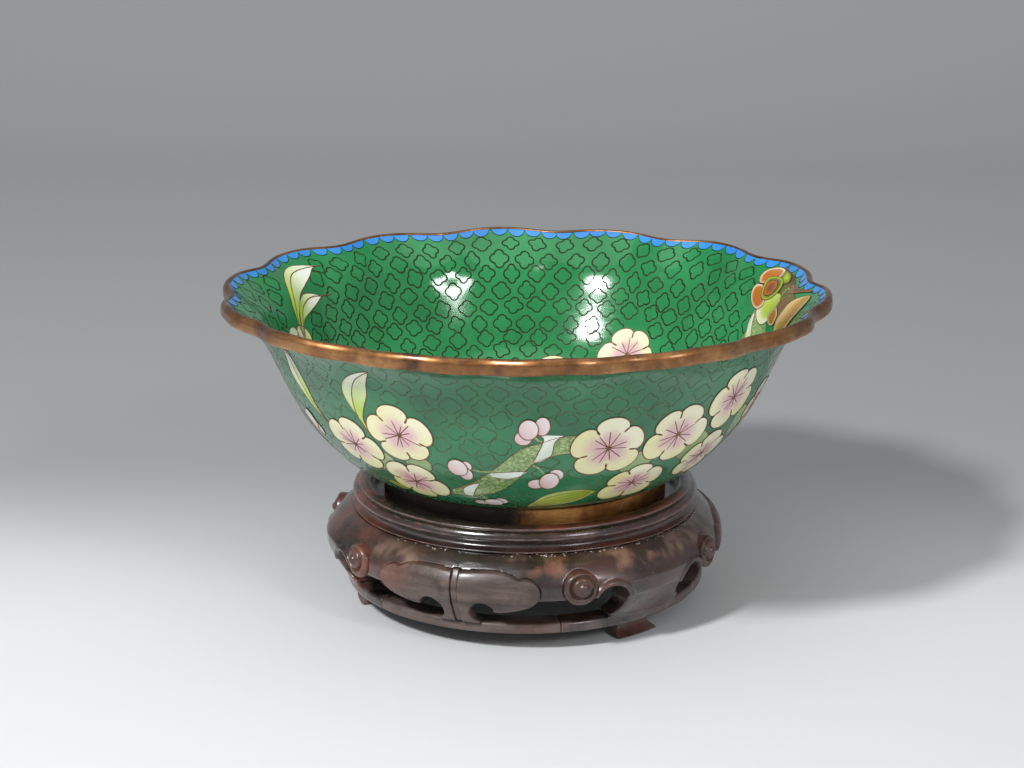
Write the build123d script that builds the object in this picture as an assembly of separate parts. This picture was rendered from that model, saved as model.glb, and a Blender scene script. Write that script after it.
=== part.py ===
from build123d import *
import math
import os

# Scalloped cloisonne bowl resting on a round carved hardwood stand.
# Millimetres.  +Z is up, z = 0 is the table, the origin is the centre of the stand's underside.
# Bearings are in degrees: 0 faces the front (-Y) and positive turns towards +X.

# ---- bowl: main sizes ----
RIM_RADIUS = 124.4          # mean radius where the wall meets the lip band
RIM_OUT = 2.6               # how far the lip band stands out past the wall edge
RIM_LOW = 128.4             # lower edge of the lip band
RIM_TOP = 135.2             # top of the lip band
LOBES = 14                  # scallops round the rim
LOBE_BEARING = 5.7          # bearing of one crest
LOBE_WAVE = 1.9             # first harmonic of the scallop
LOBE_POINT = 0.5            # second harmonic, gives broad crests and narrow hollows
FADE_LOW = 108.0            # height where the scallops have faded out of the wall
FOOT_RADIUS = 60.0          # outside radius of the foot ring
FOOT_WALL = 3.0
SEAT_HEIGHT = 46.0          # height of the ledge that carries the bowl
ENAMEL = 0.7                # thickness of one enamel coat
COPPER = 1.2                # thickness of the copper wall
BLUE_DEPTH = 2.5            # radial width of the blue cells under the lip

# Outside surface of the enamel from the foot to past the lip: radius, height.
WALL = [
    (60.9, 55.6),
    (66.8, 58.4),
    (73.6, 62.2),
    (84.3, 71.8),
    (95.1, 85.3),
    (102.9, 100.0),
    (107.6, 110.5),
    (111.2, 118.0),
    (115.8, 123.8),
    (121.4, 128.5),
    (128.0, 133.9),
]

# ---- stand: main sizes ----
STAND_TOP = 41.0            # height where the collar sits on the leg sections
RECESS_RADIUS = 66.0        # recess round the bowl's foot
LEG_BEARINGS = {"front_right": 40.0, "back": 160.0, "left": -80.0}
SEAM_BEARINGS = {"front": -20.0, "right": 100.0, "back_left": 220.0}
SECTION_HALF = 60.0         # half angle of one leg section
KEY_WIDTH = 2.6             # width of the strip in a seam
BAND_LOW = 24.0             # underside of the bulging band
RAIL_LOW = 8.0
RAIL_TOP = 12.6
RAIL_OUT = 76.4
RAIL_IN = 66.0
RAIL_JOINT = 29.2           # half angle from the leg's centre to the joint in the base rail
LEG_HALF = 14.0             # half angle of the leg between its two round holes
HOLE_ANGLE = 15.0           # bearing of a round hole from the leg's centre
HOLE_HEIGHT = 21.5
HOLE_RADIUS = 6.3
BOSS_ANGLE = 24.9           # bearing of a scroll boss from the leg's centre
BOSS_HEIGHT = 30.0
BOSS_RADIUS = 6.4
CLOUD_RELIEF = 1.3          # how far a cloud panel stands proud of the band
CLOUD_SET = 3.0             # how deep it is let into the band

# Outside of the bulging band: radius, height, from the collar down to the base rail.
BULGE = [
    (74.6, 41.0),
    (78.4, 38.4),
    (81.6, 35.0),
    (83.5, 31.4),
    (84.0, 27.6),
    (82.8, 22.6),
    (79.8, 17.2),
    (76.8, 12.6),
]


def place(shape, bearing):
    # Turns a shape drawn about +X so that it faces the given bearing.
    return Rot(0, 0, bearing - 90.0) * shape


# ---------------------------------------------------------------- bowl

def normal_at(i):
    # Outward normal of the wall profile at point i.
    a = WALL[max(i - 1, 0)]
    b = WALL[min(i + 1, len(WALL) - 1)]
    dr = b[0] - a[0]
    dz = b[1] - a[1]
    size = math.hypot(dr, dz)
    return dz / size, -dr / size


def wall_point(i, depth):
    # Point i of the wall profile moved inward by depth.
    nr, nz = normal_at(i)
    return WALL[i][0] - depth * nr, WALL[i][1] - depth * nz


def rim_point(radius, height, share, bearing):
    # Point on a scalloped curve at a bearing.
    phase = math.radians(LOBES * (bearing - LOBE_BEARING))
    wave = LOBE_WAVE * math.cos(phase) - LOBE_POINT * math.cos(2.0 * phase)
    r = radius + share * wave
    a = math.radians(bearing)
    return (r * math.sin(a), -r * math.cos(a), height)


def lobed_wire(radius, height, share=1.0):
    # Closed scalloped curve, one edge per lobe: share 1 is the full scallop, 0 is a circle.
    pitch = 360.0 / LOBES
    edges = []
    for k in range(LOBES):
        first = LOBE_BEARING + pitch * k
        points = [rim_point(radius, height, share, first + pitch * j / 4.0) for j in range(4)]
        points.append(rim_point(radius, height, share, LOBE_BEARING + pitch * ((k + 1) % LOBES)))
        ends = []
        for bearing in (first, first + pitch):
            a = math.radians(bearing)
            ends.append((math.cos(a), math.sin(a), 0))
        edges.append(Spline(*points, tangents=ends))
    return Wire(edges)


def lobed_block(radius, low, high):
    # Upright block with a scalloped outline.
    return extrude(Face(lobed_wire(radius, low)), high - low)


def fade(height):
    # Share of the scallop at a height: 0 low on the wall, 1 at the lip.
    t = (height - FADE_LOW) / (RIM_LOW - FADE_LOW)
    t = min(max(t, 0.0), 1.0)
    return t * t * (3.0 - 2.0 * t)


def bowl_block(depth):
    # Solid bowl shape whose surface lies depth under the outside of the enamel.
    rings = []
    for i in range(len(WALL)):
        r, z = wall_point(i, depth)
        rings.append(lobed_wire(r, z, fade(z)))
    return Solid.make_loft(rings, False)


def foot_ring():
    # Slightly flared ring under the bowl.
    top = wall_point(0, ENAMEL)[1]
    inner = FOOT_RADIUS - FOOT_WALL
    pts = [
        (inner, top),
        (FOOT_RADIUS, top),
        (FOOT_RADIUS - 0.6, top - 2.2),
        (FOOT_RADIUS + 0.4, SEAT_HEIGHT + 1.0),
        (FOOT_RADIUS + 0.2, SEAT_HEIGHT),
        (inner, SEAT_HEIGHT),
    ]
    face = make_face(Polyline(*pts, close=True))
    return revolve(Plane.XZ * face, Axis.Z, 360.0)


def rim_band(inside):
    # Rounded band that faces outward round the scalloped lip.
    levels = [
        (RIM_LOW, 1.1),
        (RIM_LOW + 0.4, 1.8),
        (RIM_LOW + 1.2, 2.3),
        (RIM_LOW + 2.4, RIM_OUT),
        (RIM_TOP - 2.4, RIM_OUT),
        (RIM_TOP - 1.2, 2.3),
        (RIM_TOP - 0.4, 1.7),
        (RIM_TOP, 0.9),
    ]
    rings = [lobed_wire(RIM_RADIUS + out, z) for z, out in levels]
    return Solid.make_loft(rings, True) - inside


def make_bowl():
    # Copper body, its enamel coats, the lip band and the foot ring.
    inside = lobed_block(RIM_RADIUS, 40.0, 150.0)
    skin0 = bowl_block(0.0)
    skin1 = bowl_block(ENAMEL)
    skin2 = bowl_block(ENAMEL + COPPER)
    skin3 = bowl_block(2.0 * ENAMEL + COPPER)
    outer = (skin0 - skin1) & inside
    floor_top = wall_point(0, ENAMEL)[1]
    ring_gap = Pos(0, 0, 50.0) * Cylinder(FOOT_RADIUS, floor_top - 50.0,
                                          align=(Align.CENTER, Align.CENTER, Align.MIN))
    base_disc = Pos(0, 0, 50.0) * Cylinder(FOOT_RADIUS - FOOT_WALL, floor_top - 50.0,
                                           align=(Align.CENTER, Align.CENTER, Align.MIN))
    inner = (skin2 - skin3) & inside
    core = lobed_block(RIM_RADIUS - BLUE_DEPTH, 40.0, 150.0)
    return {
        "copper_body": (skin1 - skin2) & inside,
        "outer_enamel": outer - ring_gap,
        "base_enamel": outer & base_disc,
        "inner_enamel": inner & core,
        "blue_rim_enamel": inner - core,
        "rim_band": rim_band(inside),
        "foot_ring": foot_ring(),
    }


# ---------------------------------------------------------------- stand

def collar_ring():
    # Turned ring: recess ledge, rounded top edge, torus and cove.
    inner = RECESS_RADIUS - 16.0
    outline = [
        Line((inner, STAND_TOP), (inner, SEAT_HEIGHT)),
        Line((inner, SEAT_HEIGHT), (RECESS_RADIUS, SEAT_HEIGHT)),
        Line((RECESS_RADIUS, SEAT_HEIGHT), (RECESS_RADIUS, 50.4)),
        ThreePointArc((RECESS_RADIUS, 50.4), (67.9, 51.5), (70.3, 50.6)),
        Line((70.3, 50.6), (70.9, 49.9)),
        ThreePointArc((70.9, 49.9), (73.7, 47.4), (71.9, 44.9)),
        ThreePointArc((71.9, 44.9), (70.9, 43.3), (72.2, 42.1)),
        ThreePointArc((72.2, 42.1), (73.6, 41.7), (74.2, STAND_TOP)),
        Line((74.2, STAND_TOP), (inner, STAND_TOP)),
    ]
    return revolve(Plane.XZ * make_face(outline), Axis.Z, 360.0)


def bulge_face(out, depth, low):
    # Cross-section of the bulging band between two offsets of its outside line, cut off at low.
    outer = [(r + out, z) for r, z in BULGE]
    inner = [(r - depth, z) for r, z in BULGE]
    outline = [
        Spline(*outer),
        Line(outer[-1], inner[-1]),
        Spline(*inner),
        Line(inner[0], outer[0]),
    ]
    face = make_face(outline)
    keep = Pos(75.0, low + 30.0) * Rectangle(60.0, 60.0)
    return face & keep


def band_arc(face, half):
    # Face turned through an arc of plus and minus half degrees about +X.
    return Rot(0, 0, -half) * revolve(Plane.XZ * face, Axis.Z, 2.0 * half)


def radial_cylinder(radius, inner, outer, angle, height):
    # Round bar that points outward at an angle from +X.
    bar = Cylinder(radius, outer - inner, align=(Align.CENTER, Align.CENTER, Align.MIN))
    return Rot(0, 0, angle) * Pos(inner, 0, height) * Rot(0, 90, 0) * bar


def rail_face():
    # Base rail with a bevelled lower outer edge.
    pts = [
        (RAIL_IN, RAIL_LOW),
        (RAIL_OUT - 1.8, RAIL_LOW),
        (RAIL_OUT, RAIL_LOW + 2.4),
        (RAIL_OUT, RAIL_TOP - 0.6),
        (RAIL_OUT - 0.8, RAIL_TOP),
        (RAIL_IN, RAIL_TOP),
    ]
    return make_face(Polyline(*pts, close=True))


def foot_block():
    # Concave neck over a toe that splays outward.
    levels = [(0.0, 9.9, 61.5, 72.6), (2.2, 9.3, 62.0, 72.4), (5.4, 8.2, 63.4, 70.4), (RAIL_LOW + 1.2, 8.6, 65.0, 72.8)]
    rings = []
    for z, half, near, far in levels:
        centre = (near + far) / 2.0
        outline = RectangleRounded(far - near, 2.0 * half, 1.4)
        rings.append((Pos(centre, 0, z) * outline).faces()[0].outer_wire())
    return Solid.make_loft(rings, False)


def boss(side):
    # Scroll boss with a small off-centre bead; its underside is cut flat.
    disc = radial_cylinder(BOSS_RADIUS, 79.0, 86.4, side * BOSS_ANGLE, BOSS_HEIGHT)
    disc = fillet(disc.edges().filter_by(GeomType.CIRCLE).sort_by(lambda e: -e.center().length)[0], 1.6)
    bead = radial_cylinder(2.7, 84.0, 87.6, side * (BOSS_ANGLE + 0.7), BOSS_HEIGHT + 0.3)
    under = Pos(84.0, 0, BOSS_HEIGHT - BOSS_RADIUS + 0.7) * Box(30.0, 100.0, 10.0, align=(
        Align.CENTER, Align.CENTER, Align.MAX))
    return (disc + bead) - under


def cloud_outline():
    # Right half of a cloud panel, as (angle from the seam, height).
    def pt(angle, z):
        return (84.0 * math.sin(math.radians(angle)), z)
    edge = KEY_WIDTH / 2.0
    top = Spline((edge, 35.6), pt(8.0, 36.2), pt(14.5, 35.4), pt(17.6, 33.9))
    lobe = Spline(pt(17.6, 33.9), pt(20.6, 33.1), pt(23.6, 29.6), pt(22.6, 23.6), pt(17.4, 20.2), pt(10.6, 18.8))
    hole = Spline(pt(10.6, 18.8), pt(9.2, 21.8), pt(6.4, 22.8), pt(4.0, 20.2), pt(4.2, 16.2), pt(7.2, RAIL_TOP))
    outline = [
        top,
        lobe,
        hole,
        Line(pt(7.2, RAIL_TOP), (edge, RAIL_TOP)),
        Line((edge, RAIL_TOP), (edge, 35.6)),
    ]
    return make_face(outline)


def cloud_panel(side):
    # Half panel in relief, drawn about +X with the seam at angle 0.
    shell = band_arc(bulge_face(CLOUD_RELIEF, CLOUD_SET, RAIL_TOP), 40.0)
    face = cloud_outline()
    if side < 0:
        face = mirror(face, about=Plane.YZ)
    prism = extrude(Plane.YZ.offset(55.0) * face, 50.0)
    return shell & prism


def seam_key():
    # Narrow strip in the seam, a little lower than the panels beside it.
    shell = band_arc(bulge_face(0.5, 6.0, RAIL_TOP), 4.0)
    strip = Pos(80.0, 0, (RAIL_TOP + 36.4) / 2.0) * Box(40.0, KEY_WIDTH, 36.4 - RAIL_TOP)
    return shell & strip


def leg_section():
    # One third of the stand: band, leg, foot and rail stubs, drawn about +X.
    band = band_arc(bulge_face(0.0, 7.6, BAND_LOW), SECTION_HALF)
    leg = band_arc(bulge_face(0.0, 9.0, RAIL_TOP - 0.1), LEG_HALF)
    stub = band_arc(rail_face(), RAIL_JOINT)
    body = band + leg + stub + foot_block()
    for side in (-1, 1):
        body = body - radial_cylinder(HOLE_RADIUS, 55.0, 95.0, side * HOLE_ANGLE, HOLE_HEIGHT)
        body = body - boss(side)
        seam = Rot(0, 0, side * SECTION_HALF)
        body = body - seam * cloud_panel(-side)
        body = body - seam * seam_key()
    return body


def base_rail():
    # Curved rail between two legs, drawn about +X with the seam at angle 0.
    return band_arc(rail_face(), SECTION_HALF - RAIL_JOINT)


def make_stand():
    # All the wooden pieces in place.
    parts = {"collar_ring": collar_ring()}
    section = leg_section()
    bosses = {"left": boss(-1), "right": boss(1)}
    for name, bearing in LEG_BEARINGS.items():
        parts[f"leg_section_{name}"] = place(section, bearing)
        for side, solid in bosses.items():
            parts[f"scroll_boss_{name}_leg_{side}"] = place(solid, bearing)
    panels = {"left": cloud_panel(-1), "right": cloud_panel(1)}
    key = seam_key()
    rail = base_rail()
    for name, bearing in SEAM_BEARINGS.items():
        parts[f"seam_key_{name}"] = place(key, bearing)
        parts[f"base_rail_{name}"] = place(rail, bearing)
        for side, solid in panels.items():
            parts[f"cloud_panel_{name}_{side}_half"] = place(solid, bearing)
    return parts


os.makedirs("parts", exist_ok=True)
pieces = {}
pieces.update(make_bowl())
pieces.update(make_stand())
for node, shape in pieces.items():
    solids = shape.solids()
    whole = solids[0] if len(solids) == 1 else Compound(children=list(solids))
    export_step(whole, f"parts/{node}.step")
    print(node, len(solids), round(whole.volume, 1), "mm3")
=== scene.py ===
import math
import bpy
import numpy as np
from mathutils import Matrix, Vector


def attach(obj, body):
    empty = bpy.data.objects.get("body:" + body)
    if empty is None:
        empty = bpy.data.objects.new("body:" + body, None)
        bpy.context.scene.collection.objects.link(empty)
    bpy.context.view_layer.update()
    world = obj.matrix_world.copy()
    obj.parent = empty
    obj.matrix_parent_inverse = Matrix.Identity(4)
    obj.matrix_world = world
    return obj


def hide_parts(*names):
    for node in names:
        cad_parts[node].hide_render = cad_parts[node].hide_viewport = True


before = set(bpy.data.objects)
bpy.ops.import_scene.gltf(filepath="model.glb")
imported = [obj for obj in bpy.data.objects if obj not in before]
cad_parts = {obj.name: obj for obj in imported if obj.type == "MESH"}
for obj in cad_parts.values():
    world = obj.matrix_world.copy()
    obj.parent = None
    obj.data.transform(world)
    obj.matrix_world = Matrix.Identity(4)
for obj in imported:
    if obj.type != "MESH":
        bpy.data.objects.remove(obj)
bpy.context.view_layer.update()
rng = np.random.default_rng(14)

# Shape functions work in millimetres and degrees; Blender gets metres.
# Bearing 0 faces the front (-Y) and grows towards +X.
MM = 0.001
TURN = 2 * math.pi


# ---------------- materials

class Value:
    """A number or colour inside a node tree; +, - and * make math nodes."""

    def __init__(self, net, socket):
        self.net = net
        self.socket = socket

    def __add__(self, other):
        return self.net.math("ADD", self, other)

    def __radd__(self, other):
        return self.net.math("ADD", other, self)

    def __sub__(self, other):
        return self.net.math("SUBTRACT", self, other)

    def __rsub__(self, other):
        return self.net.math("SUBTRACT", other, self)

    def __mul__(self, other):
        return self.net.math("MULTIPLY", self, other)


class Net:
    """Builds the node tree of one material round a Principled shader."""

    def __init__(self, name):
        self.mat = bpy.data.materials.new(name)
        self.mat.use_nodes = True
        self.tree = self.mat.node_tree
        self.tree.nodes.clear()
        self.shader = self.tree.nodes.new("ShaderNodeBsdfPrincipled")
        output = self.tree.nodes.new("ShaderNodeOutputMaterial")
        self.tree.links.new(self.shader.outputs[0], output.inputs[0])
        self.place = self.node("TexCoord", {}, "Object")

    def feed(self, socket, value):
        """Links a value from another node, or stores a plain number, vector or colour."""
        if isinstance(value, Value):
            self.tree.links.new(value.socket, socket)
        elif hasattr(value, "__len__") and len(value) < len(socket.default_value):
            socket.default_value = (*value, 1.0)
        else:
            socket.default_value = value

    def node(self, kind, inputs, output=0, **settings):
        """Adds a node with the given inputs and settings; returns one of its outputs."""
        new = self.tree.nodes.new("ShaderNode" + kind)
        for key, value in settings.items():
            setattr(new, key, value)
        for key, value in inputs.items():
            self.feed(new.inputs[key], value)
        return Value(self, new.outputs[output])

    def main(self, **values):
        """Sets the shader's inputs; an underscore in a name stands for a space."""
        for name, value in values.items():
            self.feed(self.shader.inputs[name.replace("_", " ")], value)

    def math(self, operation, a, b):
        return self.node("Math", {0: a, 1: b}, operation=operation)

    def axis(self, letter):
        return self.node("SeparateXYZ", {0: self.place}, letter)

    def noise(self, scale, detail=3.0, rough=0.5, stretch=None):
        place = self.place
        if stretch:
            place = self.node("Mapping", {"Vector": place, "Scale": stretch})
        inputs = {"Vector": place, "Scale": scale, "Detail": detail, "Roughness": rough}
        return self.node("TexNoise", inputs, "Fac")

    def spots(self, scale, low=0.0, high=0.10):
        """1 in the middle of scattered dots and 0 outside them."""
        distance = self.node("TexVoronoi", {"Vector": self.place, "Scale": scale}, "Distance")
        return self.span(distance, low, high, 1.0, 0.0)

    def ramp(self, fac, *stops):
        """Colour ramp through (position, colour) stops."""
        new = self.tree.nodes.new("ShaderNodeValToRGB")
        self.feed(new.inputs[0], fac)
        marks = new.color_ramp.elements
        marks[0].position = stops[0][0]
        marks[1].position = stops[-1][0]
        for position, _ in stops[1:-1]:
            marks.new(position)
        for mark, (_, colour) in zip(marks, stops):
            mark.color = (*colour, 1)
        return Value(self, new.outputs[0])

    def span(self, value, a0, a1, b0=0.0, b1=1.0):
        """Smooth step from b0 at a0 to b1 at a1."""
        inputs = {0: value, 1: a0, 2: a1, 3: b0, 4: b1}
        return self.node("MapRange", inputs, interpolation_type="SMOOTHSTEP")

    def band(self, value, rise, full, fade, end):
        """1 between full and fade, 0 below rise and above end."""
        return self.span(value, rise, full) * self.span(value, fade, end, 1.0, 0.0)

    def mix(self, share, a, b, kind="MIX"):
        return self.node("Mix", {0: share, 6: a, 7: b}, 2, data_type="RGBA", blend_type=kind)

    def bump(self, height, distance, strength):
        """Surface relief; distance is in metres."""
        self.main(Normal=self.node("Bump", {"Height": height, "Distance": distance, "Strength": strength}))


def srgb(*levels):
    """Linear colour of red, green and blue screen levels from 0 to 255."""
    c = np.array(levels) / 255.0
    return tuple(float(v) for v in np.where(c <= 0.04045, c / 12.92, ((c + 0.055) / 1.055) ** 2.4))


def darker(colour, share):
    return [c * share for c in colour]


def enamel(name, dark=None, light=None, rough=0.12):
    """Glossy ground-flush enamel: faint mottling, firing pits and hairline scratches.

    Without colours it takes them from the mesh."""
    n = Net(name)
    mottle = n.noise(38.0, 4.0, 0.55)
    fine = n.noise(420.0, 3.0, 0.6)
    if dark:
        base = n.ramp(mottle, (0.3, dark), (0.7, light))
        base = n.mix(n.span(fine, 0.6, 0.85, 0.0, 0.35), base, darker(dark, 0.45))
    else:
        base = n.node("Attribute", {}, "Color", attribute_name="Col")
        base = n.mix(n.span(mottle, 0.35, 0.7, 0.0, 0.10), base, (0.55, 0.5, 0.42), "MULTIPLY")
        base = n.mix(n.span(fine, 0.55, 0.8, 0.0, 0.10), base, (0.35, 0.3, 0.25), "MULTIPLY")
    pits = n.spots(260.0) * n.span(n.noise(55.0, 2.0), 0.56, 0.72)
    base = n.mix(pits * 0.55, base, (0.02, 0.03, 0.02))
    scratches = n.span(n.noise(150.0, 4.0, 0.7, (1.0, 1.0, 9.0)), 0.5, 0.75, 0.0, 0.16)
    rough = rough + scratches * n.span(n.noise(16.0), 0.4, 0.7)
    n.main(Base_Color=base, Roughness=rough, IOR=1.52, Coat_Weight=0.35, Coat_Roughness=0.06)
    height = n.noise(120.0, 2.0) * 0.5 - pits + n.noise(1500.0, 2.0, 0.6) * 0.42
    n.bump(height + n.noise(430.0, 2.0, 0.6) * 0.16, 0.00006, 0.62)
    return n.mat


def metal(name, bright, brown, dark, rough, along=(1.0, 1.0, 1.0), coat=0.0, front_left_painted_shade=False):
    """Handled metal: rubbed and oxidised areas and fine scratches, and optionally near-black painted shade on
    the front left.
    """
    n = Net(name)
    cloud = n.noise(60.0, 5.0, 0.62)
    fine = n.noise(240.0, 5.0, 0.7, along)
    base = n.ramp(cloud, (0.30, dark), (0.46, brown), (0.66, bright))
    base = n.mix(n.span(fine, 0.52, 0.72, 0.0, 0.45), base, dark)
    spots = n.spots(210.0, 0.0, 0.22) * n.span(n.noise(34.0, 2.0), 0.5, 0.62)
    base = n.mix(spots * 0.6, base, darker(dark, 0.35))
    rough = rough + n.span(fine, 0.3, 0.8, -0.06, 0.2)
    shine = 1.0 - spots * 0.5
    if front_left_painted_shade:
        # Painted shade: the front left goes near-black, less metallic and rougher.
        uneven = n.span(cloud, 0.3, 0.7, -0.012, 0.012)
        left = n.span(n.axis("X") + uneven, -0.010, 0.016, 0.95, 0.0)
        painted_shade = left * n.span(n.axis("Y") + uneven, -0.01, 0.03, 1.0, 0.12)
        base = n.mix(painted_shade, base, (0.008, 0.0065, 0.006))
        shine = shine - painted_shade * 0.8
        rough = rough + painted_shade * 0.25
    n.main(Base_Color=base, Metallic=shine, Roughness=rough, Coat_Weight=coat, Coat_Roughness=0.22)
    n.bump(fine - spots, 0.00008, 0.6)
    return n.mat


def hardwood(name, dark, mid, red, shine, coat=0.8, rub=1.1):
    """Dark lacquered hardwood: grain, red wood where it is rubbed, pale chips, dust in the hollows.

    The mesh's wear value is 1 on sharp edges and -1 in grooves; heights are in metres."""
    n = Net(name)
    x, z = n.axis("X"), n.axis("Z")
    wear = n.node("Attribute", {}, "Fac", attribute_name="wear")
    grain = n.noise(46.0, 6.0, 0.6, (1.0, 1.0, 7.0))
    fibre = n.noise(330.0, 4.0, 0.65, (0.6, 0.6, 5.0))
    blotch = n.noise(26.0, 5.0, 0.66)
    broad = n.noise(11.0, 2.0, 0.5)
    left_flank = n.span(x, -0.045, -0.072, 0.0, 0.7)
    toes = n.span(z, 0.002, 0.009, 0.9, 0.0)
    hollow = n.span(z, 0.030, 0.012, 0.0, 0.6)
    shoulder = n.band(z, 0.0325, 0.0365, 0.0395, 0.0415)
    groove = n.band(z, 0.0403, 0.0407, 0.0416, 0.042)
    collar_top = n.span(z, 0.0498, 0.0508, 0.0, 0.9)

    base = n.ramp(grain, (0.32, dark), (0.68, mid))
    base = n.mix(left_flank * n.span(blotch, 0.42, 0.58), base, red)
    base = n.mix(n.span(n.noise(34.0, 6.0, 0.72), 0.46, 0.60, 0.0, 0.62), base, darker(dark, 0.4))
    base = n.mix(n.span(fibre, 0.55, 0.78, 0.0, 0.5), base, darker(dark, 0.4))
    tint = n.mix(n.span(broad, 0.45, 0.62), base, red)
    base = n.mix(n.span(blotch, 0.35, 0.8, 0.0, 0.5), base, tint)
    base = n.mix(toes * n.span(blotch, 0.4, 0.6, 0.1, 1.0), base, red)

    rubbed = wear * rub + n.span(blotch, 0.45, 0.72, -0.42, 0.36)
    rubbed = rubbed + collar_top * n.span(broad, 0.42, 0.6, 0.1, 1.0)
    rubbed = rubbed + n.span(fibre, 0.4, 0.7, -0.12, 0.12) + shoulder * 0.12
    mask = n.span(rubbed, 0.2, 0.95)
    base = n.mix(mask * 0.75, base, red)
    patches = n.span(n.noise(96.0, 2.5, 0.5, (1.0, 1.0, 0.16)), 0.44, 0.62)
    pale = shoulder * patches * n.span(broad, 0.42, 0.55, 0.06, 0.62)
    base = n.mix(pale, base, n.mix(n.span(blotch, 0.4, 0.6), srgb(150, 92, 68), srgb(146, 116, 98)))

    dusty = hollow * n.span(n.noise(70.0, 5.0, 0.7), 0.42, 0.62)
    base = n.mix(dusty, base, srgb(104, 92, 88))
    chip = n.span(wear + n.span(fibre, 0.35, 0.65, -0.3, 0.3), 0.65, 1.0)
    base = n.mix(chip * 0.4, base, (0.24, 0.17, 0.14))
    # Darker in the grooves and creases, in patches.
    groove_darkening = n.span(wear, -0.75, -0.2, 0.6, 0.0) * n.span(blotch, 0.35, 0.6, 0.1, 1.0)
    base = n.mix(groove_darkening, base, (0.06, 0.048, 0.04))
    base = n.mix(n.spots(420.0) * n.span(broad, 0.5, 0.6, 0.0, 0.8), base, (0.42, 0.38, 0.34))
    flake = n.spots(640.0, 0.16, 0.26) * n.span(broad, 0.44, 0.5)
    base = n.mix(groove * flake, base, (0.62, 0.6, 0.58))

    rough = shine + n.span(blotch, 0.3, 0.7, -0.10, 0.14) + (mask + dusty) * 0.16
    n.main(Base_Color=base, Roughness=rough, IOR=1.5, Coat_Weight=coat, Coat_Roughness=0.2)
    n.bump(fibre * 0.5 + blotch * 2.2 + grain, 0.00022, 0.5)
    return n.mat


def wire(name, light, dark, shine=0.0):
    """Tarnished brass wire ground flush with the enamel."""
    n = Net(name)
    base = n.ramp(n.noise(240.0, 4.0, 0.6), (0.35, dark), (0.65, light))
    glint = [min(1.0, c * 2.2) for c in light]
    base = n.mix(n.span(n.noise(1100.0, 2.0), 0.55, 0.7, 0.0, 0.5), base, glint)
    rough = n.span(n.noise(700.0, 2.0), 0.3, 0.7, 0.25, 0.5)
    n.main(Base_Color=base, Metallic=shine, Roughness=rough, Specular_IOR_Level=0.1 + shine)
    n.bump(n.noise(900.0, 2.0), 0.00003, 0.5)
    return n.mat


def branch_enamel():
    """Mottled olive enamel with pale specks."""
    n = Net("enamel_branch")
    speck = n.noise(900.0, 3.0, 0.7)
    base = n.ramp(n.noise(90.0, 3.0, 0.6), (0.3, srgb(92, 128, 66)), (0.7, srgb(142, 168, 108)))
    base = n.mix(n.span(speck, 0.5, 0.62, 0.0, 0.75), base, srgb(196, 208, 150))
    base = n.mix(n.span(speck, 0.44, 0.34, 0.0, 0.7), base, srgb(70, 96, 44))
    n.main(Base_Color=base, Roughness=0.16, IOR=1.52, Coat_Weight=0.35, Coat_Roughness=0.06)
    n.bump(speck, 0.00003, 0.4)
    return n.mat


def stage_paper():
    """Pale paper with painted light falloff: brightest in front and greyer behind the object."""
    n = Net("studio_sweep")
    y = n.axis("Y")
    # Painted light falloff: the paper colour darkens from the front of the floor to the back wall.
    base = n.ramp(n.span(y, -0.06, 0.20), (0.0, (0.69, 0.705, 0.715)), (0.35, (0.60, 0.615, 0.625)),
                  (1.0, (0.36, 0.368, 0.372)))
    base = n.mix(n.span(y, 0.15, 1.2), base, (0.415, 0.42, 0.422))
    base = n.mix(n.span(n.noise(300.0, 2.0), 0.4, 0.7, 0.0, 0.02), base, (0.6, 0.6, 0.6))
    n.main(Base_Color=base, Roughness=0.7)
    return n.mat


GREEN_IN = enamel("enamel_green_inside", srgb(24, 116, 60), srgb(38, 142, 80))
GREEN_OUT = enamel("enamel_green_outside", srgb(26, 98, 60), srgb(38, 122, 78), 0.17)
GREEN_BASE = enamel("enamel_green_base", srgb(18, 84, 52), srgb(26, 104, 66), 0.2)
BLUE = enamel("enamel_blue", srgb(38, 124, 206), srgb(62, 150, 226))
PAINTED = enamel("enamel_painted_cells", rough=0.13)
BRANCH = branch_enamel()
COPPER = metal("copper_lip", srgb(190, 140, 88), srgb(142, 95, 54), srgb(84, 54, 34), 0.38, (1, 1, 5), 0.6)
COPPER_WALL = metal("copper_wall", srgb(200, 130, 90), srgb(150, 88, 54), srgb(90, 50, 32), 0.35)
# Brass foot ring, with painted shade on its front left.
BRASS = metal("brass_foot", srgb(196, 142, 84), srgb(150, 98, 54), srgb(88, 54, 32), 0.36, (1, 1, 9),
              front_left_painted_shade=True)
WIRE = wire("brass_wire", srgb(128, 84, 54), srgb(92, 56, 36), 0.25)
WIRE_IN = wire("ground_wire_inside", srgb(48, 66, 36), srgb(30, 46, 26))
WIRE_OUT = wire("ground_wire_outside", srgb(86, 104, 74), srgb(66, 88, 60))
WOOD = hardwood("hardwood_dark", srgb(24, 17, 15), srgb(50, 36, 31), srgb(104, 58, 43), 0.27)
WOOD_DULL = hardwood("hardwood_dull", srgb(52, 40, 36), srgb(104, 86, 78), srgb(126, 78, 62), 0.46, 0.25)
WOOD_WORN = hardwood("hardwood_rubbed", srgb(36, 25, 22), srgb(70, 50, 42), srgb(128, 74, 56), 0.38, 0.5)
WOOD_TURNED = hardwood("hardwood_turned", srgb(26, 17, 15), srgb(56, 37, 31), srgb(124, 60, 40), 0.26,
                       rub=0.6)


# ---------------- mesh helpers

def new_object(name, data):
    ob = bpy.data.objects.new(name, data)
    bpy.context.scene.collection.objects.link(ob)
    return ob


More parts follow.
